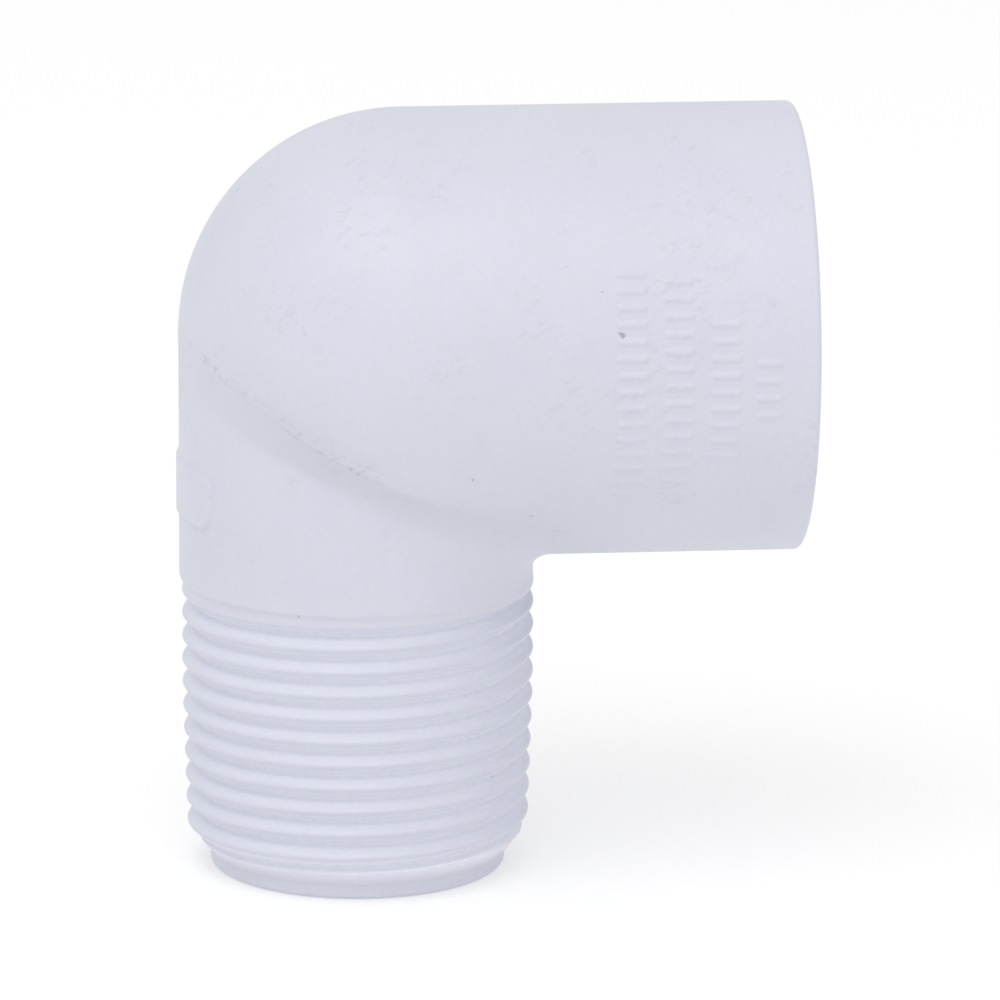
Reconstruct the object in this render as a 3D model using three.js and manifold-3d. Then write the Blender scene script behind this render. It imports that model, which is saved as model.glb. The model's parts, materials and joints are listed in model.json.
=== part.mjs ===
// A 3/4 inch street elbow for irrigation pipework, moulded in white PVC.
// Millimetres, +Z up.  The male spigot points straight down and the wider female hub points along +X.
//
// The fitting is one moulding.  It is given here as its three working regions, which meet face to
// face on two planes: the threaded hub, the bend with its neck, and the threaded spigot.
// Everything is drawn about the crossing point of the two pipe axes, and then placed so that the
// origin lies under the middle of the fitting, in the plane of the spigot's end.

import * as THREE from 'three';
import { mergeVertices } from 'three/addons/utils/BufferGeometryUtils.js';
import Module from 'manifold-3d';

// ---------------------------------------------------------------- driving dimensions

const hubRadius = 17.0;          // outside of the female hub, and of the domed back of the bend
const hubReach = 33.1;           // spigot axis to the hub's face
const axisHeight = 41.3;         // spigot's end to the hub axis
const neckRadius = 13.55;        // plain neck between the bend and the male thread

// Taper pipe thread, 14 threads to the inch, 60 degree form with flattened crests and roots
const pitch = 25.4 / 14;
const threadTaper = 1 / 32;      // radius gained for each millimetre along the axis
const crestFlat = 0.36;          // width of each flattened crest
const rootFlat = 0.26;           // width of each flattened root
const threadDepth = (pitch - crestFlat - rootFlat) / 2 / Math.tan(Math.PI / 6);

// Male end, with heights measured up from the spigot's end
const maleCrestAtEnd = 12.9;     // crest radius, produced down to the spigot's end
const maleCrestLimit = 13.35;    // the crests stop growing here, just inside the neck
const pilotRadius = 11.2;        // plain ring that enters the mating thread first
const pilotHeight = 1.1;
const leadTop = 3.3;             // top of the chamfer that cuts the first crests down
const firstCrest = 21.92;        // highest crest, on the side facing -Y
const runoutStart = 21.2;        // the groove gets shallower from here
const runoutEnd = 22.3;
const neckStart = 22.75;

// Female end, with depths measured in from the hub's face
const femaleMinorAtFace = 11.95;
const mouthRadius = 13.7;        // outer edge of the entry chamfer
const mouthDepth = 1.3;
const socketDepth = 16.6;        // face to the shoulder behind the thread
const grooveStart = 18.0;        // x where the grooves begin, clear of the shoulder

// Waterway
const spigotBore = 9.5;
const hubBore = 10.4;

// Small features
const rimRound = 0.9;            // rounded outer edge of the hub's face
const endRound = 0.45;           // rounded edges of the spigot's end
const collarGrowth = 1.38;       // swelling of the collar that carries the bend into the neck
const collarFootLine = { height: -10.8, slope: -0.53, curve: 0.012 };      // along x
const collarTopLine = { height: -7.5, slope: -0.56, limit: -0.3 };
const gatePad = { halfAngle: 31, bottom: -13.6, top: -9.2, height: 0.2 };
const barHeight = 0.2;           // plain raised bars on the front of the hub
const bars = [                   // x is the bar's middle, and the angles run up from straight ahead
  { x: 19.0, width: 2.5, from: -35, to: 29 },
  { x: 22.5, width: 2.5, from: -35, to: 27 },
  { x: 26.0, width: 2.5, from: -23, to: 16 },
  { x: 29.2, width: 2.2, from: -12, to: 6 },
];

const embed = 0.4;               // how far a raised feature is sunk into what carries it

// Planes where the regions meet
const hubSeam = 16.1;            // x, clear of the neck and its fillet
const spigotSeam = -18.3;        // z, between the hub's underside and the thread

// Facets
const round = 40;                // flats round each turned shape
const arcSteps = 3;              // flats on a small rounded edge
const domeSteps = 14;            // flats from the dome's pole to its equator
const bowlSteps = 8;             // flats along the rounded end of the hub's waterway
const blockSteps = 10;           // flats round a bar or the gate pad

const domeOffset = hubRadius - neckRadius;        // keeps the back of dome and neck flush
const spigotEnd = -axisHeight;

// ---------------------------------------------------------------- solids

const wasm = await Module();
wasm.setup();

function toSolid(geometry) {
  const bare = geometry.clone();
  bare.deleteAttribute('normal');
  bare.deleteAttribute('uv');
  const merged = mergeVertices(bare, 1e-4);
  const corners = merged.index.array;
  const kept = [];
  for (let i = 0; i < corners.length; i += 3) {
    const [a, b, c] = corners.slice(i, i + 3);
    if (a !== b && b !== c && c !== a) kept.push(a, b, c);
  }
  return new wasm.Manifold(new wasm.Mesh({
    numProp: 3,
    vertProperties: new Float32Array(merged.attributes.position.array),
    triVerts: new Uint32Array(kept),
  }));
}

function toGeometry(solid) {
  const mesh = solid.getMesh();
  const geometry = new THREE.BufferGeometry();
  geometry.setAttribute('position', new THREE.BufferAttribute(mesh.vertProperties, 3));
  geometry.setIndex(new THREE.BufferAttribute(mesh.triVerts, 1));
  geometry.computeVertexNormals();
  return geometry;
}

// Points are [radius, height], going round the section anticlockwise.
function lathe(points) {
  const outline = points.map(([radius, height]) => new THREE.Vector2(radius, height));
  if (points[0][0] > 0) outline.push(outline[0].clone());
  return new THREE.LatheGeometry(outline, round);
}

// A turned shape's first column faces -Y, whichever pipe axis it is turned on.
const standAlongZ = (geometry) => geometry.rotateX(Math.PI / 2);
const layAlongX = (geometry) => geometry.rotateZ(-Math.PI / 2).rotateX(Math.PI / 2);
const aboutZ = (points) => standAlongZ(lathe(points));
const aboutX = (points) => layAlongX(lathe(points));

// Points on an arc, from one angle to another in degrees.
function arc(centreX, centreY, radius, from, to, steps) {
  return Array.from({ length: steps + 1 }, (unused, i) => {
    const angle = THREE.MathUtils.degToRad(from + (to - from) * i / steps);
    return [centreX + radius * Math.cos(angle), centreY + radius * Math.sin(angle)];
  });
}

// A block of a ring, between two radii and two angles, from z = 0 up to the given length.
function ringBlock(inner, outer, from, to, length) {
  const start = THREE.MathUtils.degToRad(from);
  const end = THREE.MathUtils.degToRad(to);
  const shape = new THREE.Shape();
  shape.absarc(0, 0, outer, start, end, false);
  shape.absarc(0, 0, inner, end, start, true);
  return new THREE.ExtrudeGeometry(shape, { depth: length, bevelEnabled: false, curveSegments: blockSteps });
}

// ---------------------------------------------------------------- thread

// The crest and root corners in one pitch, as fractions of it counted from the crest's middle.
const halfCrest = crestFlat / pitch / 2;
const halfRoot = rootFlat / pitch / 2;
const threadCorners = [
  { at: -halfCrest, crest: true },
  { at: halfCrest, crest: true },
  { at: 0.5 - halfRoot, crest: false },
  { at: 0.5 + halfRoot, crest: false },
];

// A turned ring with a right-handed thread between two heights of its outline.  The outline runs
// anticlockwise, with the thread's rows between the points before and after it.  The rows climb
// one pitch in each turn, and those past an end of the thread gather on the plain ring there.
function threadedRing({ before, after, low, high, crestHeight, radiusAt, inside }) {
  const turns = Math.ceil((high - low) / pitch) + 2;
  const firstTurn = Math.floor((low - crestHeight) / pitch) - 1;
  const rows = [];
  for (let turn = 0; turn < turns; turn++) {
    for (const corner of threadCorners) {
      rows.push({ height: crestHeight + (firstTurn + turn + corner.at) * pitch, crest: corner.crest });
    }
  }
  if (inside) rows.reverse();
  const outline = [...before, ...rows.map(() => [1, 0]), ...after];
  const geometry = lathe(outline);
  const position = geometry.attributes.position;
  const rowsInColumn = outline.length + 1;
  for (let column = 0; column <= round; column++) {
    const angle = 2 * Math.PI * column / round;
    rows.forEach((row, i) => {
      const climbed = row.height + pitch * column / round;
      const height = THREE.MathUtils.clamp(climbed, low, high);
      const radius = radiusAt(height, row.crest);
      const vertex = column * rowsInColumn + before.length + i;
      position.setXYZ(vertex, radius * Math.sin(angle), height, radius * Math.cos(angle));
    });
  }
  return geometry;
}

const maleCrest = (height) => Math.min(maleCrestAtEnd + height * threadTaper, maleCrestLimit);

function maleRadius(height, onCrest) {
  const leadSlope = (maleCrest(leadTop) - pilotRadius) / (leadTop - pilotHeight);
  const lead = pilotRadius + (height - pilotHeight) * leadSlope;
  const depth = threadDepth * (1 - THREE.MathUtils.smoothstep(height, runoutStart, runoutEnd));
  return Math.min(lead, maleCrest(height) - (onCrest ? 0 : depth));
}

// Inside the hub the crest is the ridge nearest the axis, and the root is the bottom of the groove.
function femaleRadius(height, onCrest) {
  const minor = femaleMinorAtFace - (hubReach - height) * threadTaper;
  const mouth = mouthRadius - (hubReach - height) * (mouthRadius - femaleMinorAtFace) / mouthDepth;
  const depth = threadDepth * THREE.MathUtils.smoothstep(height, grooveStart, grooveStart + pitch);
  return Math.max(mouth, minor + (onCrest ? 0 : depth));
}

// ---------------------------------------------------------------- regions

function threadedHub() {
  const body = toSolid(layAlongX(threadedRing({
    before: [
      [hubRadius, hubSeam],
      ...arc(hubRadius - rimRound, hubReach - rimRound, rimRound, 0, 90, arcSteps),
    ],
    low: grooveStart,
    high: hubReach,
    crestHeight: hubReach - pitch / 4,
    radiusAt: femaleRadius,
    inside: true,
    after: [
      [femaleMinorAtFace - socketDepth * threadTaper, hubReach - socketDepth],
      [hubBore, hubReach - socketDepth],
      [hubBore, hubSeam],
    ],
  })));
  return bars.reduce((hub, bar) => hub.add(toSolid(raisedBar(bar))), body);
}

// One raised bar, bent round the front of the hub.
function raisedBar(bar) {
  const block = ringBlock(hubRadius - embed, hubRadius + barHeight, bar.from, bar.to, bar.width);
  const toHub = new THREE.Matrix4().makeBasis(
    new THREE.Vector3(0, -1, 0), new THREE.Vector3(0, 0, 1), new THREE.Vector3(-1, 0, 0),
  );
  return block.applyMatrix4(toHub).translate(bar.x + bar.width / 2, 0, 0);
}

// The collar swells most at the front and back of the neck, and not at all in the plane of the axes.
const collarSwell = (angle) => collarGrowth * Math.sin(angle) ** 2;

// Its foot fades into the neck and its top meets the bend.  Both dip towards the hub.
const collarFoot = (x) => collarFootLine.height + collarFootLine.slope * x + collarFootLine.curve * x * x;
const collarTop = (x) => Math.min(collarTopLine.height + collarTopLine.slope * x, collarTopLine.limit);

function collar() {
  const rows = [
    { height: collarFoot, swell: 0 },
    { height: (x) => (collarFoot(x) + collarTop(x)) / 2, swell: 0.38 },
    { height: collarTop, swell: 1 },
    { height: () => 0, swell: 0.9 },              // on the hub axis, inside the dome
  ];
  const top = rows.length;
  const geometry = aboutZ([[0, 0], ...rows.map((row, i) => [neckRadius, i]), [neckRadius, top], [0, top]]);
  const position = geometry.attributes.position;
  for (let i = 0; i < position.count; i++) {
    const level = Math.round(position.getZ(i));
    const row = rows[Math.min(level, top - 1)];
    const angle = Math.atan2(position.getY(i), position.getX(i));
    const widen = 1 + row.swell * collarSwell(angle) / neckRadius;
    const x = position.getX(i) * widen;
    const y = position.getY(i) * widen;
    position.setXYZ(i, x, y, level === top ? 0 : row.height(x));
  }
  return geometry;
}

function elbowBend() {
  const dome = arc(0, domeOffset, hubRadius, -90, 0, domeSteps);
  dome[0][0] = 0;
  const shell = toSolid(aboutX([...dome, [hubRadius, hubSeam], [0, hubSeam]]));
  const neck = toSolid(aboutZ([[0, spigotSeam], [neckRadius, spigotSeam], [neckRadius, 0], [0, 0]]));
  const pad = ringBlock(
    neckRadius - embed, neckRadius + gatePad.height,
    180 - gatePad.halfAngle, 180 + gatePad.halfAngle, gatePad.top - gatePad.bottom,
  ).translate(0, 0, gatePad.bottom);
  const outside = shell.add(neck).add(toSolid(collar())).add(toSolid(pad));

  const bowl = arc(0, 0, hubBore, -90, 0, bowlSteps);
  bowl[0][0] = 0;
  const through = 1;                              // the bores run past the faces that they open
  const across = toSolid(aboutX([...bowl, [hubBore, hubSeam + through], [0, hubSeam + through]]));
  const down = toSolid(aboutZ([
    [0, spigotSeam - through], [spigotBore, spigotSeam - through], [spigotBore, 0], [0, 0],
  ]));
  return outside.subtract(across).subtract(down);
}

function threadedSpigot() {
  const seam = spigotSeam - spigotEnd;
  const ring = threadedRing({
    before: [
      [spigotBore, endRound],
      [spigotBore + endRound, 0],
      ...arc(pilotRadius - endRound, endRound, endRound, -90, 0, arcSteps),
    ],
    low: pilotHeight,
    high: runoutEnd,
    crestHeight: firstCrest,
    radiusAt: maleRadius,
    inside: false,
    after: [[neckRadius, neckStart], [neckRadius, seam], [spigotBore, seam]],
  });
  return toSolid(standAlongZ(ring).translate(0, 0, spigotEnd));
}

// ---------------------------------------------------------------- the fitting

const whitePvc = (tint) => new THREE.MeshStandardMaterial({ color: tint, roughness: 0.42, metalness: 0 });

function region(name, solid, tint) {
  const mesh = new THREE.Mesh(toGeometry(solid), whitePvc(tint));
  mesh.name = name;
  return mesh;
}

const fitting = new THREE.Group();
fitting.add(
  region('threaded_hub', threadedHub(), 0xdcdde6),
  region('elbow_bend', elbowBend(), 0xdadce5),
  region('threaded_spigot', threadedSpigot(), 0xd6d8e2),
);

// The box runs from the gate pad to the hub's face along X, and from the bars to the hub's back
// along Y, and the origin is under its middle.
const backReach = neckRadius + gatePad.height;
fitting.position.set((backReach - hubReach) / 2, barHeight / 2, axisHeight);

export default fitting;
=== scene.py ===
"""A 3/4 inch street elbow in white PVC, standing on its spigot on a pale studio floor.

The fitting is one moulding, shown as its three regions: the threaded hub, the bend and the threaded
spigot. Each is a fine mesh that stands for the CAD node of the same region. Shapes are worked out
in millimetres about the crossing point of the two pipe axes: the hub lies along +X, the spigot
points down, and -Y is the front.
"""
import json
import math

import bmesh
import bpy
import numpy as np
from mathutils import Matrix, Vector


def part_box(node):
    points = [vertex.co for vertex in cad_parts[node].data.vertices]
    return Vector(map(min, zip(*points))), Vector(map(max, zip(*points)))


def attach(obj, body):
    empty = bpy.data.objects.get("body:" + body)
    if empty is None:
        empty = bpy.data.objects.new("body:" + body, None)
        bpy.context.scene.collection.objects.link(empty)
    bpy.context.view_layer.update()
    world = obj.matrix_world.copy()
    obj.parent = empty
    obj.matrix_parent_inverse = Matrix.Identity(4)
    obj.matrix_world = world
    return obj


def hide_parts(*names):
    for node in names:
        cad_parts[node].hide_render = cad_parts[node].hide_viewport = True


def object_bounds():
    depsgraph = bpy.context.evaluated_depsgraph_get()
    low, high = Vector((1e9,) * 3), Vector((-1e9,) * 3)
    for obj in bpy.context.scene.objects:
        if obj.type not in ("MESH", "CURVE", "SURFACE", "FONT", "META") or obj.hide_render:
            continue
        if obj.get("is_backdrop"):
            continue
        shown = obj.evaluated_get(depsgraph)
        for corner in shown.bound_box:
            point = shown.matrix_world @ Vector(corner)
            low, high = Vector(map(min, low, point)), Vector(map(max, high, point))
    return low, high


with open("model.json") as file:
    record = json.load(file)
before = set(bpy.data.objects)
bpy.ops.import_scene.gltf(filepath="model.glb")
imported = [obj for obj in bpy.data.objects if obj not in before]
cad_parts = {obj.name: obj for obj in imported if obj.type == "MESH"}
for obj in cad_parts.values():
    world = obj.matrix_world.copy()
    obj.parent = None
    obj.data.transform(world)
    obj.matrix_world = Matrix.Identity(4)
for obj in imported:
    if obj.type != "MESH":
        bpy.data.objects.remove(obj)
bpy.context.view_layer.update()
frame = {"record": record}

# ------------------------------------------------------------------ sizes taken from the frame
MM = 0.001


def node_box(node):
    """A CAD node's lowest and highest corners, in millimetres."""
    return [np.array(corner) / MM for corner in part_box(node)]


hub_low, hub_high = node_box("threaded_hub")
bend_low = node_box("elbow_bend")[0]
spigot_low, spigot_high = node_box("threaded_spigot")

HUB_R = (hub_high[2] - hub_low[2]) / 2
NECK_R = (spigot_high[0] - spigot_low[0]) / 2
AXES_MEET = np.array([
    (spigot_high[0] + spigot_low[0]) / 2,
    hub_high[1] - HUB_R,
    hub_high[2] - HUB_R,
])
HUB_FACE = hub_high[0] - AXES_MEET[0]
HUB_SEAM = hub_low[0] - AXES_MEET[0]
SPIGOT_SEAM = spigot_high[2] - AXES_MEET[2]
SPIGOT_END = spigot_low[2] - AXES_MEET[2]
MARK_HEIGHT = AXES_MEET[1] - HUB_R - hub_low[1]       # how far the CAD's raised bars stand off the hub
PAD_HEIGHT = AXES_MEET[0] - NECK_R - bend_low[0]
DOME_X = HUB_R - NECK_R                 # the dome's centre, so that its back is flush with the neck

# ------------------------------------------------------------------ sizes of the moulding
PITCH = 25.4 / 14
TAPER = 1 / 32                          # radius gained for each millimetre of thread
CREST_FLAT, ROOT_FLAT = 0.36, 0.26      # before they are rounded
FLANK_SLOPE = math.tan(math.radians(30))              # distance along the axis over distance inwards
DEPTH = (PITCH - CREST_FLAT - ROOT_FLAT) / 2 / FLANK_SLOPE

SPIGOT_BORE = 9.5
HUB_BORE = 10.4
RIM_ROUND = 0.42
END_ROUND = 0.45
FACE_STRIP = 0.08                       # a narrow flat strip beside a rounded edge, which keeps it crisp

CREST_AT_END = 12.9                     # male crest, produced down to the spigot's end
CREST_LIMIT = 13.35
FIRST_CREST = 21.92
PILOT_R, PILOT_TOP, LEAD_TOP = 11.2, 1.1, 3.3
RUNOUT_START, RUNOUT_END, NECK_START = 21.2, 22.3, 22.75

MINOR_AT_FACE = 11.95                   # female ridge radius, produced out to the hub's face
MOUTH_R, MOUTH_DEPTH = 13.7, 1.3
MOUTH_ROUND = 0.3
SOCKET_DEPTH = 16.6
GROOVE_START = 18.0

NECK_FLAT = 0.26                        # how much the neck is drawn in below the hub
COLLAR_SWELL = 1.38
FOOT_HEIGHT, FOOT_SLOPE, FOOT_BEND = -10.8, -0.53, 0.012         # where the collar starts, along x
CREASE_HEIGHT, CREASE_SLOPE, CREASE_BEND = -7.8, -0.48, 0.011    # where collar meets dome, along x
PAD_HALF_ANGLE, PAD_BOTTOM, PAD_TOP = 31.0, -13.6, -9.2          # the shallow gate pad on the neck's back
PAD_CORNER = 1.3

# Rows of plain raised ticks on the hub's front: middle x, length along x, and the angles that the
# row spans, measured up from straight ahead.
TICK_ROWS = [(19.0, 2.5, -35, 29), (22.5, 2.5, -35, 27), (26.0, 2.5, -23, 16), (29.2, 2.2, -12, 6)]
TICK_GAP = 1.3                          # from one tick to the next, round the hub
TICK_HALF_WIDTH = 0.42
TICK_ROUND = 0.4                        # how far in from its end a tick starts to round off
TICK_HEIGHT = 0.62 * MARK_HEIGHT        # the ticks are lower than the bars that they replace

WELD = 2e-5                             # points that agree to within this are joined
SHARP_ANGLE = 38                        # degrees between faces, from which their edge is kept sharp


# ------------------------------------------------------------------ small numeric helpers
def smoothstep(value, low, high):
    t = np.clip((value - low) / (high - low), 0, 1)
    return t * t * (3 - 2 * t)


def smooth_min(a, b, soft):
    h = np.clip(1 - np.abs(a - b) / soft, 0, 1)
    return np.minimum(a, b) - h * h * soft / 4


def smooth_max(a, b, soft):
    return -smooth_min(-a, -b, soft)


def graded(*spans):
    """Numbers from the first span's start to the last one's end; each span is (start, end, step)."""
    parts = [
        np.linspace(start, end, max(1, round((end - start) / step)), endpoint=False)
        for start, end, step in spans
    ]
    return np.append(np.concatenate(parts), spans[-1][1])


def rounded(corners, turn=9.0):
    """A 2-D outline of (x, y, fillet radius) corners, with its fillets drawn as short steps."""
    points = [np.array(c[:2], float) for c in corners]
    outline = []
    for i, point in enumerate(points):
        radius = corners[i][2]
        if radius == 0:
            outline.append(point)
            continue
        back, ahead = points[i - 1] - point, points[i + 1] - point
        back, ahead = back / np.linalg.norm(back), ahead / np.linalg.norm(ahead)
        half = math.acos(np.clip(back @ ahead, -1, 1)) / 2
        middle = (back + ahead) / np.linalg.norm(back + ahead)
        centre = point + middle * radius / math.sin(half)
        start = point + back * radius / math.tan(half) - centre
        end = point + ahead * radius / math.tan(half) - centre
        sweep = math.atan2(start[0] * end[1] - start[1] * end[0], start @ end)
        steps = max(2, math.ceil(abs(math.degrees(sweep)) / turn))
        for a in np.linspace(0, sweep, steps + 1):
            cos, sin = math.cos(a), math.sin(a)
            outline.append(centre + [start[0] * cos - start[1] * sin, start[0] * sin + start[1] * cos])
    return np.array(outline)


# ------------------------------------------------------------------ mesh building
class Shell:
    """Gathers grids of points and the faces over them into one closed mesh."""

    def __init__(self):
        self.points, self.faces, self.count = [], [], 0

    def grid(self, points):
        """Adds rows of points that each go once round, and the quads between the rows."""
        rows, columns = points.shape[:2]
        index = self.count + np.arange(rows * columns).reshape(rows, columns)
        self.points.append(points.reshape(-1, 3))
        self.count += rows * columns
        corners = index[:-1, :-1], index[:-1, 1:], index[1:, 1:], index[1:, :-1]
        self.faces.append(np.stack(corners, -1).reshape(-1, 4))
        return index

    def bridge(self, ring_a, angles_a, ring_b, angles_b):
        """Triangles across a flat ring between two rows with different numbers of points.

        Each is given as a quad whose last corner comes twice.
        """
        i = j = 0
        made = []
        while i < len(ring_a) - 1 or j < len(ring_b) - 1:
            next_a = angles_a[i + 1] if i < len(ring_a) - 1 else math.inf
            next_b = angles_b[j + 1] if j < len(ring_b) - 1 else math.inf
            if next_a <= next_b:
                made.append([ring_a[i], ring_a[i + 1], ring_b[j], ring_b[j]])
                i += 1
            else:
                made.append([ring_a[i], ring_b[j + 1], ring_b[j], ring_b[j]])
                j += 1
        self.faces.append(np.array(made))

    def build(self, name):
        """Joins the points that coincide, drops the faces that vanish, and makes the object."""
        points = np.concatenate(self.points)
        faces = np.concatenate(self.faces)
        cells = np.floor(points / WELD + 0.37).astype(np.int64)
        _, first, merged = np.unique(cells, axis=0, return_index=True, return_inverse=True)
        faces = merged.reshape(-1)[faces]
        kept = faces != np.roll(faces, -1, axis=1)
        sides = kept.sum(axis=1)
        solid = sides >= 3
        faces, kept, sides = faces[solid], kept[solid], sides[solid]
        mesh = bpy.data.meshes.new(name)
        mesh.vertices.add(len(first))
        mesh.vertices.foreach_set("co", ((points[first] + AXES_MEET) * MM).ravel())
        mesh.loops.add(int(sides.sum()))
        mesh.loops.foreach_set("vertex_index", faces[kept].astype(np.int32))
        mesh.polygons.add(len(sides))
        starts = np.concatenate([[0], np.cumsum(sides)[:-1]]).astype(np.int32)
        mesh.polygons.foreach_set("loop_start", starts)
        mesh.update(calc_edges=True)
        mesh.validate()
        work = bmesh.new()
        work.from_mesh(mesh)
        bmesh.ops.recalc_face_normals(work, faces=work.faces)
        work.to_mesh(mesh)
        work.free()
        mesh.polygons.foreach_set("use_smooth", np.ones(len(mesh.polygons), bool))
        mesh.set_sharp_from_angle(angle=math.radians(SHARP_ANGLE))
        made = bpy.data.objects.new(name, mesh)
        bpy.context.scene.collection.objects.link(made)
        return made


def about_x(radius, x, angle):
    """Points turned about the hub axis, from straight ahead up over the top."""
    return np.stack([x + 0 * angle, -radius * np.cos(angle), radius * np.sin(angle)], -1)


def about_z(radius, z, angle):
    """Points turned about the spigot axis, from straight ahead round to the right."""
    return np.stack([radius * np.sin(angle), -radius * np.cos(angle), z + 0 * angle], -1)


def full_turn(angles):
    """Angles in degrees as one row of radians, whose last entry lands exactly on its first."""
    turn = np.radians(angles)
    turn[-1] = turn[0] + 2 * math.pi
    return turn


# ------------------------------------------------------------------ thread form
# Where the rows lie in one pitch, in millimetres from the middle of the crest to that of the root
HALF_PITCH_ROWS = np.array([0, 0.09, 0.17, 0.25, 0.36, 0.55, 0.70, 0.78, 0.85, PITCH / 2])


def groove(height, angle, crest_height, crest_soft, root_soft):
    """Depth below the crests of a right-handed thread, at a height along the axis."""
    turns = (height - crest_height) / PITCH - angle / (2 * math.pi)
    from_crest = np.abs(turns - np.round(turns)) * PITCH
    flank = (from_crest - CREST_FLAT / 2) / FLANK_SLOPE
    return smooth_min(smooth_max(flank, 0 * flank, crest_soft), DEPTH + 0 * flank, root_soft)


def thread_rows(low, high, crest_height, angle):
    """Heights of climbing rows, one column for each angle. Past the ends they gather on a ring."""
    inner = HALF_PITCH_ROWS[1:-1]
    offsets = np.concatenate([HALF_PITCH_ROWS[:-1], [PITCH / 2], PITCH - inner[::-1]])
    first = math.floor((low - crest_height) / PITCH) - 1
    last = math.ceil((high - crest_height) / PITCH)
    base = np.concatenate([crest_height + turn * PITCH + offsets for turn in range(first, last + 1)])
    climbed = base[:, None] + PITCH * angle[None, :] / (2 * math.pi)
    return np.clip(climbed, low, high)


# ------------------------------------------------------------------ threaded hub
def tick_marks(x, angle):
    """How far the hub's outside is raised by the rows of plain ticks."""
    raised = np.zeros(np.broadcast(x, angle).shape)
    for middle, length, low, high in TICK_ROWS:
        low_arc, high_arc = math.radians(low) * HUB_R, math.radians(high) * HUB_R
        count = round((high_arc - low_arc) / TICK_GAP)
        gap = (high_arc - low_arc) / count
        arc = ((angle + math.pi) % (2 * math.pi) - math.pi) * HUB_R
        nearest = low_arc + (np.clip(np.floor((arc - low_arc) / gap), 0, count - 1) + 0.5) * gap
        beyond = np.maximum(np.abs(x - middle) - (length / 2 - TICK_ROUND), 0)
        away = np.hypot(beyond, arc - nearest)
        raised = np.maximum(raised, TICK_HEIGHT * (1 - smoothstep(away, 0.04, TICK_HALF_WIDTH)))
    return raised


def build_hub():
    shell = Shell()
    # Points are close together where the ticks are
    outer = full_turn(graded((0, 31, 0.27), (31, 90, 1.5), (90, 270, 2.0), (270, 323, 1.5), (323, 360, 0.27)))
    spans, at = [], HUB_SEAM
    for middle, length, _, _ in TICK_ROWS:
        low, high = middle - length / 2, middle + length / 2
        spans += [(at, low - 0.1, 0.5), (low - 0.1, low + 0.6, 0.09), (low + 0.6, high - 0.6, 0.4),
                  (high - 0.6, high + 0.1, 0.09)]
        at = high + 0.1
    spans.append((at, HUB_FACE - RIM_ROUND, 0.4))
    x = graded(*spans)[:, None]
    side = about_x(HUB_R + tick_marks(x, outer[None, :]), x, outer[None, :])
    rim = rounded([(HUB_R, HUB_SEAM, 0), (HUB_R, HUB_FACE, RIM_ROUND), (MOUTH_R, HUB_FACE, 0)])[1:-1]
    rim = np.vstack([rim, rim[-1] - [FACE_STRIP, 0]])[1:]
    edge = about_x(rim[:, :1], rim[:, 1:], outer[None, :])
    outside = shell.grid(np.concatenate([side, edge]))

    inner = full_turn(graded((0, 360, 1.44)))
    slope = (MOUTH_R - MINOR_AT_FACE) / MOUTH_DEPTH
    mouth = rounded([(HUB_R - RIM_ROUND, HUB_FACE, 0), (MOUTH_R, HUB_FACE, MOUTH_ROUND),
                     (MOUTH_R - slope, HUB_FACE - 1, 0)])[1:-1]
    mouth = np.vstack([mouth[0] + [FACE_STRIP, 0], mouth])
    first_crest = HUB_FACE - PITCH / 4
    rows = thread_rows(GROOVE_START, mouth[-1][1], first_crest, inner)[::-1]
    minor = MINOR_AT_FACE - (HUB_FACE - rows) * TAPER
    cone = MOUTH_R - (HUB_FACE - rows) * slope
    cut = groove(rows, inner[None, :], first_crest, 0.25, 0.2)
    cut = cut * smoothstep(rows, GROOVE_START, GROOVE_START + PITCH)
    thread = smooth_max(minor + cut, cone, 0.12)
    shoulder_x = HUB_FACE - SOCKET_DEPTH
    shoulder = rounded([
        (MINOR_AT_FACE - (HUB_FACE - GROOVE_START) * TAPER, GROOVE_START, 0),
        (MINOR_AT_FACE - SOCKET_DEPTH * TAPER, shoulder_x, 0.25),
        (HUB_BORE, shoulder_x, 0.2), (HUB_BORE, HUB_SEAM, 0),
    ], turn=15)[1:]
    inside = shell.grid(np.concatenate([
        about_x(mouth[:, :1], mouth[:, 1:], inner[None, :]),
        about_x(thread, rows, inner[None, :]),
        about_x(shoulder[:, :1], shoulder[:, 1:], inner[None, :]),
    ]))
    shell.bridge(outside[-1], outer, inside[0], inner)
    shell.bridge(inside[-1], inner, outside[0], outer)
    return shell.build("hub_moulding")


# ------------------------------------------------------------------ threaded spigot
def neck_radius(toward_hub):
    """The plain neck's radius, for the cosine of the angle away from the hub's direction."""
    return NECK_R - NECK_FLAT * ((1 + toward_hub) / 2) ** 4


def male_crest(height, toward_hub):
    """The male thread's crest radius, and the step from there out to the neck."""
    swell = (neck_radius(toward_hub) - CREST_LIMIT) * smoothstep(height, RUNOUT_END, NECK_START)
    return smooth_min(CREST_AT_END + height * TAPER, CREST_LIMIT + 0 * height, 0.05) + swell


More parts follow.
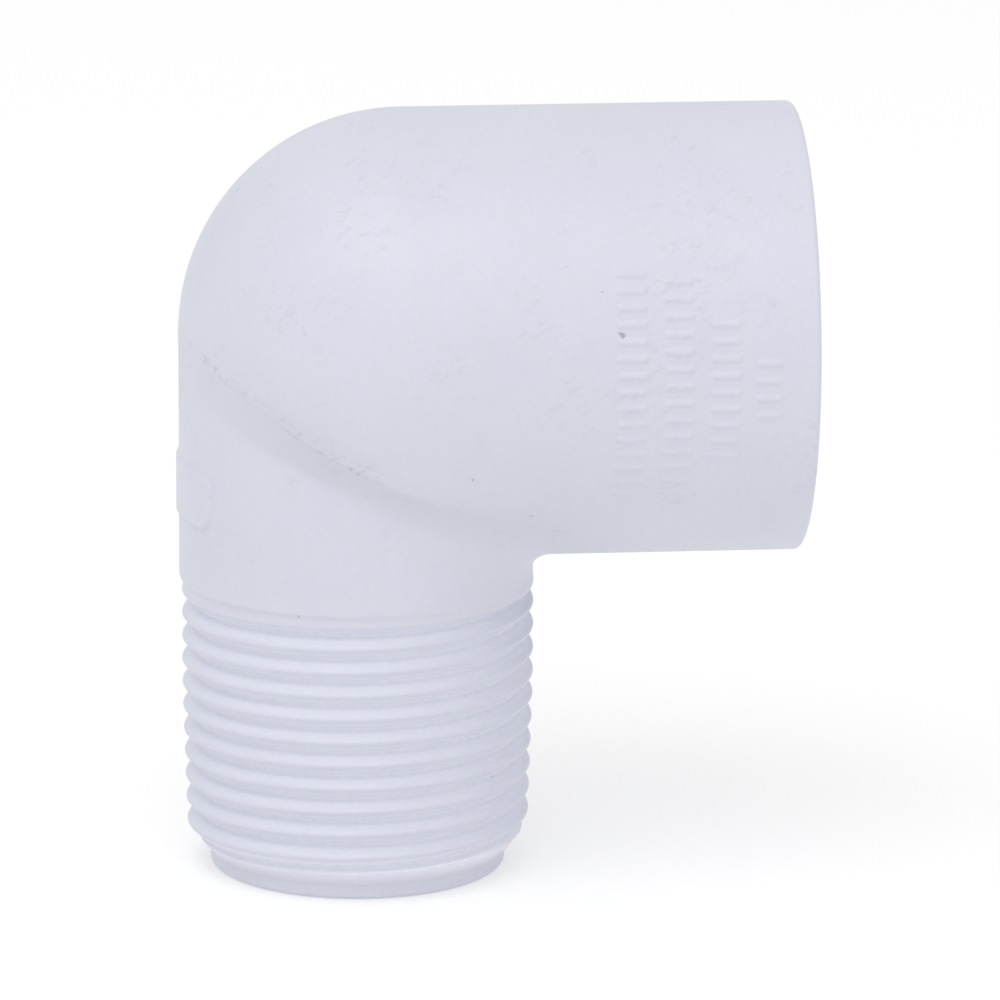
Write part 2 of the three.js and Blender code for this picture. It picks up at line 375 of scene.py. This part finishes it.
def build_spigot():
    shell = Shell()
    seam = SPIGOT_SEAM - SPIGOT_END
    outer = full_turn(graded((0, 360, 1.0)))
    foot = rounded([(SPIGOT_BORE, 0, 0), (PILOT_R, 0, END_ROUND), (PILOT_R, PILOT_TOP, 0)])[1:-1]
    foot = np.vstack([foot[0] - [FACE_STRIP, 0], foot])
    rows = thread_rows(PILOT_TOP, NECK_START, FIRST_CREST, outer)
    lead_slope = (male_crest(LEAD_TOP, 0) - PILOT_R) / (LEAD_TOP - PILOT_TOP)
    lead = PILOT_R + (rows - PILOT_TOP) * lead_slope
    cut = groove(rows, outer[None, :], FIRST_CREST, 0.36, 0.16)
    cut = cut * (1 - smoothstep(rows, RUNOUT_START, RUNOUT_END))
    thread = smooth_min(male_crest(rows, np.sin(outer)) - cut, lead, 0.14)
    outside = shell.grid(np.concatenate([
        about_z(foot[:, :1], foot[:, 1:], outer[None, :]),
        about_z(thread, rows, outer[None, :]),
        about_z(neck_radius(np.sin(outer)), seam, outer)[None],
    ]) + [0, 0, SPIGOT_END])

    inner = full_turn(graded((0, 360, 3.0)))
    bore = rounded([(SPIGOT_BORE, seam, 0), (SPIGOT_BORE, 0, END_ROUND), (PILOT_R, 0, 0)])[:-1]
    bore = np.vstack([bore, bore[-1] + [FACE_STRIP, 0]])
    inside = shell.grid(about_z(bore[:, :1], bore[:, 1:], inner[None, :]) + [0, 0, SPIGOT_END])
    shell.bridge(outside[-1], outer, inside[0], inner)
    shell.bridge(inside[-1], inner, outside[0], outer)
    return shell.build("spigot_moulding")


# ------------------------------------------------------------------ bend
def capsule(p, start_x, radius):
    """Signed distance to a rod along +X with a domed back."""
    along = np.minimum(p[..., 0] - start_x, 0)
    return np.sqrt(along ** 2 + p[..., 1] ** 2 + p[..., 2] ** 2) - radius


def collar_and_pad(p):
    """How far the neck swells beyond its plain radius."""
    x, y, z = p[..., 0], p[..., 1], np.minimum(p[..., 2], 0)
    around = np.arctan2(y, x)
    foot = FOOT_HEIGHT + FOOT_SLOPE * x + FOOT_BEND * x * x
    top = np.minimum(CREASE_HEIGHT + CREASE_SLOPE * x + CREASE_BEND * x * x, -0.15)
    rise = np.clip((z - foot) / (top - foot), 0, 1)
    collar = COLLAR_SWELL * np.sin(around) ** 2 * rise ** 1.8
    from_back = math.pi - np.abs(around)
    across = from_back * NECK_R - math.radians(PAD_HALF_ANGLE) * NECK_R
    up = np.abs(z - (PAD_BOTTOM + PAD_TOP) / 2) - (PAD_TOP - PAD_BOTTOM) / 2
    outside = np.hypot(np.maximum(across + PAD_CORNER, 0), np.maximum(up + PAD_CORNER, 0)) - PAD_CORNER
    pad = PAD_HEIGHT * (1 - smoothstep(outside, -0.18, 0.06))
    return collar + pad


def bend_outside(p):
    """Roughly the signed distance to the dome and the neck, which are blended most below the hub."""
    x, y, z = p[..., 0], p[..., 1], p[..., 2]
    around = np.arctan2(np.abs(y), x)
    forward = (1 + np.cos(around)) / 2
    neck = np.hypot(x, y) - neck_radius(np.cos(around)) - collar_and_pad(p) + np.maximum(z, 0) ** 2 / 12
    degrees = np.degrees(around)
    smooth_side = smoothstep(degrees, 8, 45) * (1 - smoothstep(degrees, 62, 94))
    # A tight crease in front and behind, a fillet below the hub, and a wide one on either side of that
    soft = 0.06 + 0.06 * np.sin(around) ** 2 + 1.25 * forward ** 4 + 3.2 * smooth_side
    return smooth_min(capsule(p, DOME_X, HUB_R), neck, soft)


def bend_inside(p):
    """Roughly the signed distance to the waterway, where it turns the corner."""
    x, y, z = p[..., 0], p[..., 1], p[..., 2]
    down = np.hypot(x, y) - SPIGOT_BORE + np.maximum(z, 0) ** 2 / 6
    return smooth_min(capsule(p, 0.0, HUB_BORE), down, 1.6)


def swept_rings(shape, sweeps, angles, steps=130):
    """Rings of points on a shape that turns the corner, one for each half-plane of the sweep.

    Every half-plane hangs on the line where the two seam planes cross, and a ring's points are
    found by walking out from a path down the middle of the pipe until the shape is left.
    """
    turn = np.radians(sweeps)[:, None, None]
    around = angles[None, :, None]
    hinge = np.array([HUB_SEAM, 0, SPIGOT_SEAM])
    outward = np.concatenate([-np.cos(turn), 0 * turn, np.sin(turn)], -1)
    arm = HUB_SEAM + (-SPIGOT_SEAM - HUB_SEAM) * turn / (math.pi / 2)
    middle = hinge + outward * arm
    ray = np.cos(around) * outward + np.sin(around) * np.array([0, 1, 0])
    reach = np.zeros(ray.shape[:2])
    for _ in range(steps):
        reach -= 0.8 * shape(middle + ray * reach[..., None])
    return middle + ray * reach[..., None]


def build_bend():
    shell = Shell()
    # Points are close together over the crease, and at the gate pad's edges
    outer = full_turn(graded((0, 25, 2.1), (25, 37, 0.6), (37, 150, 0.66), (150, 210, 2.2),
                             (210, 323, 0.66), (323, 335, 0.6), (335, 360, 2.1)))
    inner = full_turn(graded((0, 360, 2.8)))
    outside = shell.grid(swept_rings(
        bend_outside, graded((0, 8, 0.8), (8, 20, 0.25), (20, 90, 0.5)), outer))
    inside = shell.grid(swept_rings(bend_inside, graded((0, 90, 1.6)), inner))
    shell.bridge(outside[0], outer, inside[0], inner)
    shell.bridge(outside[-1], outer, inside[-1], inner)
    return shell.build("bend_moulding")


# ------------------------------------------------------------------ material
class Nodes:
    """Short names for the few kinds of node that the plastic uses."""

    def __init__(self, material):
        material.use_nodes = True
        self.tree = material.node_tree
        self.tree.nodes.clear()

    def add(self, kind, **settings):
        node = self.tree.nodes.new(kind)
        for name, value in settings.items():
            setattr(node, name, value)
        return node

    def wire(self, value, socket):
        if isinstance(value, bpy.types.NodeSocket):
            self.tree.links.new(value, socket)
        else:
            socket.default_value = value

    def math(self, operation, *values):
        node = self.add("ShaderNodeMath", operation=operation)
        for value, socket in zip(values, node.inputs):
            self.wire(value, socket)
        return node.outputs[0]

    def vector(self, operation, *values):
        node = self.add("ShaderNodeVectorMath", operation=operation)
        for value, socket in zip(values, node.inputs):
            self.wire(value, socket)
        return node.outputs["Value" if operation in ("DISTANCE", "LENGTH") else "Vector"]

    def noise(self, where, scale, detail=3.0, roughness=0.5, output="Fac"):
        node = self.add("ShaderNodeTexNoise", noise_dimensions="3D")
        self.wire(where, node.inputs["Vector"])
        node.inputs["Scale"].default_value = scale
        node.inputs["Detail"].default_value = detail
        node.inputs["Roughness"].default_value = roughness
        return node.outputs[output]

    def remap(self, value, low, high, to_low=0.0, to_high=1.0, smooth=True):
        node = self.add("ShaderNodeMapRange", clamp=True,
                        interpolation_type="SMOOTHSTEP" if smooth else "LINEAR")
        self.wire(value, node.inputs["Value"])
        limits = {"From Min": low, "From Max": high, "To Min": to_low, "To Max": to_high}
        for name, number in limits.items():
            node.inputs[name].default_value = number
        return node.outputs["Result"]

    def mix(self, amount, a, b):
        node = self.add("ShaderNodeMix", data_type="RGBA")
        self.wire(amount, node.inputs[0])
        self.wire(a, node.inputs[6])
        self.wire(b, node.inputs[7])
        return node.outputs[2]

    def shader(self, colour, roughness):
        """The Principled shader, already wired to the material's surface."""
        node = self.add("ShaderNodeBsdfPrincipled")
        self.wire(colour, node.inputs["Base Color"])
        self.wire(roughness, node.inputs["Roughness"])
        output = self.add("ShaderNodeOutputMaterial")
        self.wire(node.outputs["BSDF"], output.inputs["Surface"])
        return node


PVC = (0.616, 0.632, 0.716, 1)
PVC_CLOUD = (0.602, 0.618, 0.701, 1)
# Painted light: a lighter colour for the grooves and the waterway, standing in for light through the plastic
PAINTED_GLOW = (0.780, 0.795, 0.878, 1)         # where the plastic is lit from within
# Dark specks and marks, and also the painted shade along and above the crease
SPECK_AND_SHADE_TONE = (0.30, 0.31, 0.36, 1)
# Rubbed wear and grain, and also the painted shade below the crease
RUBBED_AND_SHADE_TONE = (0.470, 0.482, 0.548, 1)
SPECK_SHARE = 0.2                       # the part of the cells that may hold a speck

# Dark marks, each ending with how far it reaches in millimetres and how much it darkens. A mark on
# the hub is placed by how far along it is and how many degrees up from straight ahead.
HUB_MARKS = [
    (18.2, 11.7, 0.30, 0.80),
    (11.3, -42.6, 0.14, 0.40),
    (11.9, -41.2, 0.16, 0.45),
    (12.6, -39.6, 0.14, 0.35),
]
# A mark on the thread, neck or dome is placed by its distance from the spigot axis, its degrees to the
# right of straight ahead, and its height.
SPIGOT_MARKS = [
    (13.4, -28.4, -32.8, 0.34, 0.62),
    (13.4, -23.8, -18.8, 0.13, 0.55),
    (13.4, -16.2, -21.8, 0.20, 0.22),
    (13.9, -59.7, 0.0, 0.26, 0.20),
]


def marks():
    """Each dark mark's middle, about the crossing of the axes, with its reach and its depth."""
    for along, up, reach, depth in HUB_MARKS:
        yield about_x(HUB_R, along, np.radians(up)), reach, depth
    for radius, right, height, reach, depth in SPIGOT_MARKS:
        yield about_z(radius, height, np.radians(right)), reach, depth


def depth_below_skin(n, mm, slot):
    """How much painted light a place gets: 0 on the outside of the fitting, and 1 at a groove's root and all
    through the waterway.
    """
    centred = n.vector("SUBTRACT", mm, tuple(AXES_MEET))
    from_spigot_axis = n.vector("LENGTH", n.vector("MAXIMUM", centred, (-1000, -1000, 0)))
    from_hub_axis = n.vector("LENGTH", n.vector("MINIMUM", centred, (0, 1000, 1000)))
    radius = n.math("MINIMUM", from_spigot_axis, from_hub_axis)
    if slot == "white_pvc_hub":
        return n.remap(radius, HUB_R - 1, HUB_R - 2.5)
    if slot == "white_pvc_bend":
        return n.remap(radius, NECK_R - 0.45, NECK_R - 0.85)
    split = n.add("ShaderNodeSeparateXYZ")
    n.wire(mm, split.inputs[0])
    height = split.outputs["Z"]
    crest = n.math("MINIMUM", n.math("MULTIPLY_ADD", height, TAPER, CREST_AT_END), CREST_LIMIT)
    sunk = n.remap(n.math("SUBTRACT", crest, radius), 0, 0.62 * DEPTH, smooth=False)
    return n.math("MULTIPLY", sunk, n.remap(height, 1.0, 3.0))


def wobbled(n, mm):
    """The place in millimetres, moved about by up to a quarter of one."""
    noise = n.vector("SUBTRACT", n.noise(mm, 2.2, output="Color"), (0.5, 0.5, 0.5))
    return n.vector("ADD", mm, n.vector("MULTIPLY", noise, (0.5, 0.5, 0.5)))


def specks(n, bent):
    """A few small dots of different sizes and strengths."""
    cells = n.add("ShaderNodeTexVoronoi", feature="F1")
    n.wire(bent, cells.inputs["Vector"])
    cells.inputs["Scale"].default_value = 0.42
    drawn = n.add("ShaderNodeSeparateColor")
    n.wire(cells.outputs["Color"], drawn.inputs[0])
    size = n.remap(drawn.outputs[0], 1 - SPECK_SHARE, 1.0, 0.012, 0.055, smooth=False)
    rare = n.math("GREATER_THAN", drawn.outputs[0], 1 - SPECK_SHARE)
    dot = n.math("LESS_THAN", cells.outputs["Distance"], size)
    strength = n.remap(drawn.outputs[1], 0, 1, 0.15, 0.6)
    return n.math("MULTIPLY", n.math("MULTIPLY", dot, rare), strength)


def streaks(n, bent):
    """Fine noise drawn out along a slant."""
    turned = n.add("ShaderNodeVectorRotate", rotation_type="Y_AXIS")
    n.wire(bent, turned.inputs["Vector"])
    turned.inputs["Angle"].default_value = math.radians(32)
    drawn_out = n.vector("MULTIPLY", turned.outputs[0], (0.9, 1.1, 2.4))
    return n.noise(drawn_out, 0.95, detail=7, roughness=0.78)


def scuffs(n, mm, height, streak):
    """Streaks in patches, most of them above the thread."""
    patch = n.remap(n.noise(mm, 0.16, detail=3), 0.47, 0.60)
    patch = n.math("MULTIPLY", patch, n.remap(height, -18, -12, 0.2, 1.0))
    return n.math("MULTIPLY", n.remap(streak, 0.53, 0.66), patch)


def crease_shade_and_dirt(n, mm, x, z, streak):
    """Painted shade along the crease where the collar runs into the dome, dirt with painted shade above it,
    and a faint painted shade below.
    """
    lean = n.math("MULTIPLY_ADD", x, -CREASE_BEND, -CREASE_SLOPE)
    above = n.math("SUBTRACT", n.math("MULTIPLY_ADD", x, lean, z), CREASE_HEIGHT)
    reach = n.math("MULTIPLY", n.remap(x, -13.0, -11.6), n.remap(x, 2.2, -0.6))

    # A thin broken line of painted shade in the crease
    thin = n.remap(n.math("ABSOLUTE", above), 0.03, 0.15, 1.0, 0.0)
    broken = n.remap(n.noise(mm, 0.75, detail=4, roughness=0.65), 0.38, 0.62, 0.35, 1.0)
    crease_shade_line = n.math("MULTIPLY", n.math("MULTIPLY", thin, broken), reach)

    # Streaky dirt above the crease, made darker as painted shade
    dirt_and_shade = n.math("MULTIPLY", n.remap(above, 1.9, 0.0), n.remap(above, -0.12, 0.0))
    dirt_and_shade = n.math("MULTIPLY", n.math("MULTIPLY", dirt_and_shade, n.remap(streak, 0.50, 0.66)), reach)

    # A broad band of painted shade below the crease, where the surface faces down
    shade = n.math("MULTIPLY", n.remap(above, -3.6, -0.6), n.remap(above, 2.0, -0.4))
    shade = n.math("MULTIPLY", shade, n.remap(x, -12.0, -4.0, 0.4, 1.0))
    shade = n.math("MULTIPLY", shade, n.remap(x, 17.0, 11.0))
    return crease_shade_line, dirt_and_shade, shade


def white_pvc(name):
    """Moulded rigid PVC: satin, slightly cloudy, with fine grain, a few specks and faint scuffs, painted
    light in the grooves and the waterway, and painted shade about the crease.
    """
    material = bpy.data.materials.new(name)
    n = Nodes(material)
    where = n.add("ShaderNodeTexCoord").outputs["Object"]
    mm = n.vector("MULTIPLY", where, (1 / MM, 1 / MM, 1 / MM))
    bent = wobbled(n, mm)
    place = n.add("ShaderNodeSeparateXYZ")
    n.wire(n.vector("SUBTRACT", bent, tuple(AXES_MEET)), place.inputs[0])

    cloud = n.remap(n.noise(mm, 0.10, detail=4, roughness=0.6), 0.35, 0.68)
    grain = n.noise(mm, 2.6, detail=5, roughness=0.7)
    speck = specks(n, bent)
    streak = streaks(n, bent)
    scuff = scuffs(n, mm, place.outputs["Z"], streak)
    # Painted shade along the crease and below it, and dirt with painted shade above it
    crease_shade_line, dirt_and_shade, shade = crease_shade_and_dirt(n, mm, place.outputs["X"], place.outputs["Z"], streak)

    colour = n.mix(cloud, PVC, PVC_CLOUD)
    # Painted light: the grooves and the waterway are painted lighter, standing in for the light that the
    # plastic lets through
    colour = n.mix(depth_below_skin(n, mm, name), colour, PAINTED_GLOW)
    colour = n.mix(n.remap(grain, 0.35, 0.7, 0.0, 0.12), colour, RUBBED_AND_SHADE_TONE)
    colour = n.mix(n.math("MULTIPLY", scuff, 0.30), colour, RUBBED_AND_SHADE_TONE)
    # Painted shade below the crease
    colour = n.mix(n.math("MULTIPLY", shade, 0.21), colour, RUBBED_AND_SHADE_TONE)
    # Dirt above the crease, with painted shade
    colour = n.mix(n.math("MULTIPLY", dirt_and_shade, 0.34), colour, SPECK_AND_SHADE_TONE)
    # Painted shade along the crease
    colour = n.mix(n.math("MULTIPLY", crease_shade_line, 0.12), colour, SPECK_AND_SHADE_TONE)
    colour = n.mix(speck, colour, SPECK_AND_SHADE_TONE)
    dents = n.math("MAXIMUM", speck, n.math("MULTIPLY", crease_shade_line, 0.2))
    for middle, reach, depth in marks():
        near = n.vector("DISTANCE", bent, tuple(AXES_MEET + middle))
        mark = n.remap(near, reach * 0.35, reach, depth, 0.0)
        colour = n.mix(mark, colour, SPECK_AND_SHADE_TONE)
        dents = n.math("MAXIMUM", dents, mark)

    # Heights in millimetres
    height = n.math("MULTIPLY", grain, 0.006)
    height = n.math("MULTIPLY_ADD", n.noise(mm, 0.35, detail=2), 0.05, height)
    height = n.math("MULTIPLY_ADD", scuff, -0.006, height)
    height = n.math("MULTIPLY_ADD", dents, -0.06, height)
    bump = n.add("ShaderNodeBump")
    bump.inputs["Distance"].default_value = MM
    bump.inputs["Strength"].default_value = 1.0
    n.wire(height, bump.inputs["Height"])

    rough = n.math("MULTIPLY_ADD", cloud, 0.05, 0.34)
    rough = n.math("MULTIPLY_ADD", grain, 0.06, rough)
    rough = n.math("MULTIPLY_ADD", scuff, 0.18, rough)

    shader = n.shader(colour, rough)
    n.wire(bump.outputs["Normal"], shader.inputs["Normal"])
    shader.inputs["IOR"].default_value = 1.53
    shader.inputs["Specular IOR Level"].default_value = 0.35
    return material


# ------------------------------------------------------------------ the fitting
slots = {part["node"]: part["material_slot"] for part in frame["record"]["subparts"]}
for node, build in (
    ("threaded_hub", build_hub),
    ("elbow_bend", build_bend),
    ("threaded_spigot", build_spigot),
):
    piece = build()
    piece.data.materials.append(white_pvc(slots[node]))
    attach(piece, "root")
    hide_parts(node)

# ------------------------------------------------------------------ studio
scene = bpy.context.scene

# Metres
FLOOR_REACH, FLOOR_DROP = 6.0, 2e-5     # from the middle to an edge, and below the spigot's end
SOFTBOX_SIDE, SOFTBOX_DISTANCE = 0.5, 0.8
FLOOR, FLOOR_CLOUD = (0.60, 0.60, 0.60, 1), (0.61, 0.61, 0.61, 1)
FLOOR_GLOW = 0.40
SKY = 0.84

# Millimetres and degrees
CAMERA_PLACE = np.array([-59.31, -713.39, 171.23])    # from the crossing of the axes
CAMERA_PAN, CAMERA_TILT, CAMERA_ROLL = -5.615, -14.433, -0.252
CAMERA_LENS, CAMERA_SENSOR = 351.2, 36.0


def add_floor():
    corners = [(-1, -1), (1, -1), (1, 1), (-1, 1)]
    mesh = bpy.data.meshes.new("studio_floor")
    points = [(x * FLOOR_REACH, y * FLOOR_REACH, -FLOOR_DROP) for x, y in corners]
    mesh.from_pydata(points, [], [(0, 1, 2, 3)])
    floor = bpy.data.objects.new("studio_floor", mesh)
    scene.collection.objects.link(floor)
    material = bpy.data.materials.new("pale_floor")
    n = Nodes(material)
    where = n.add("ShaderNodeTexCoord").outputs["Object"]
    shader = n.shader(n.mix(n.noise(where, 4.0), FLOOR, FLOOR_CLOUD), 0.9)
    shader.inputs["Specular IOR Level"].default_value = 0.0
    shader.inputs["Emission Color"].default_value = (1, 1, 1, 1)
    shader.inputs["Emission Strength"].default_value = FLOOR_GLOW
    mesh.materials.append(material)
    floor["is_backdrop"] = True


def add_softbox(name, azimuth, elevation, power):
    """An area light that faces the fitting. Azimuth 0 is in front, and 90 is to its right."""
    low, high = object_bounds()
    target = (low + high) / 2
    a, e = math.radians(azimuth), math.radians(elevation)
    toward = Vector((math.sin(a) * math.cos(e), -math.cos(a) * math.cos(e), math.sin(e)))
    data = bpy.data.lights.new(name, "AREA")
    data.shape, data.size, data.size_y, data.energy = "RECTANGLE", SOFTBOX_SIDE, SOFTBOX_SIDE, power
    light = bpy.data.objects.new(name, data)
    light.location = target + toward * SOFTBOX_DISTANCE
    light.rotation_mode = "QUATERNION"
    light.rotation_quaternion = toward.to_track_quat("Z", "Y")
    scene.collection.objects.link(light)


def add_camera():
    data = bpy.data.cameras.new("camera")
    data.sensor_width = CAMERA_SENSOR
    data.lens = CAMERA_LENS
    data.clip_start, data.clip_end = 0.01, 50.0
    camera = bpy.data.objects.new("camera", data)
    pan, tilt, roll = (math.radians(angle) for angle in (CAMERA_PAN, CAMERA_TILT, CAMERA_ROLL))
    turn = (Matrix.Rotation(pan, 4, "Z") @ Matrix.Rotation(tilt, 4, "X")
            @ Matrix.Rotation(roll, 4, "Y") @ Matrix.Rotation(math.pi / 2, 4, "X"))
    camera.matrix_world = Matrix.Translation(Vector((AXES_MEET + CAMERA_PLACE) * MM)) @ turn
    scene.collection.objects.link(camera)
    scene.camera = camera


def add_world():
    world = bpy.data.worlds.new("studio")
    scene.world = world
    world.use_nodes = True
    back = world.node_tree.nodes["Background"]
    back.inputs["Color"].default_value = (1, 1, 1, 1)
    back.inputs["Strength"].default_value = SKY


add_floor()
add_softbox("key", azimuth=-35, elevation=61, power=1.58)
add_softbox("fill", azimuth=6, elevation=40, power=0.64)
add_camera()
add_world()
scene.view_settings.view_transform = "Standard"
scene.view_settings.look = "None"
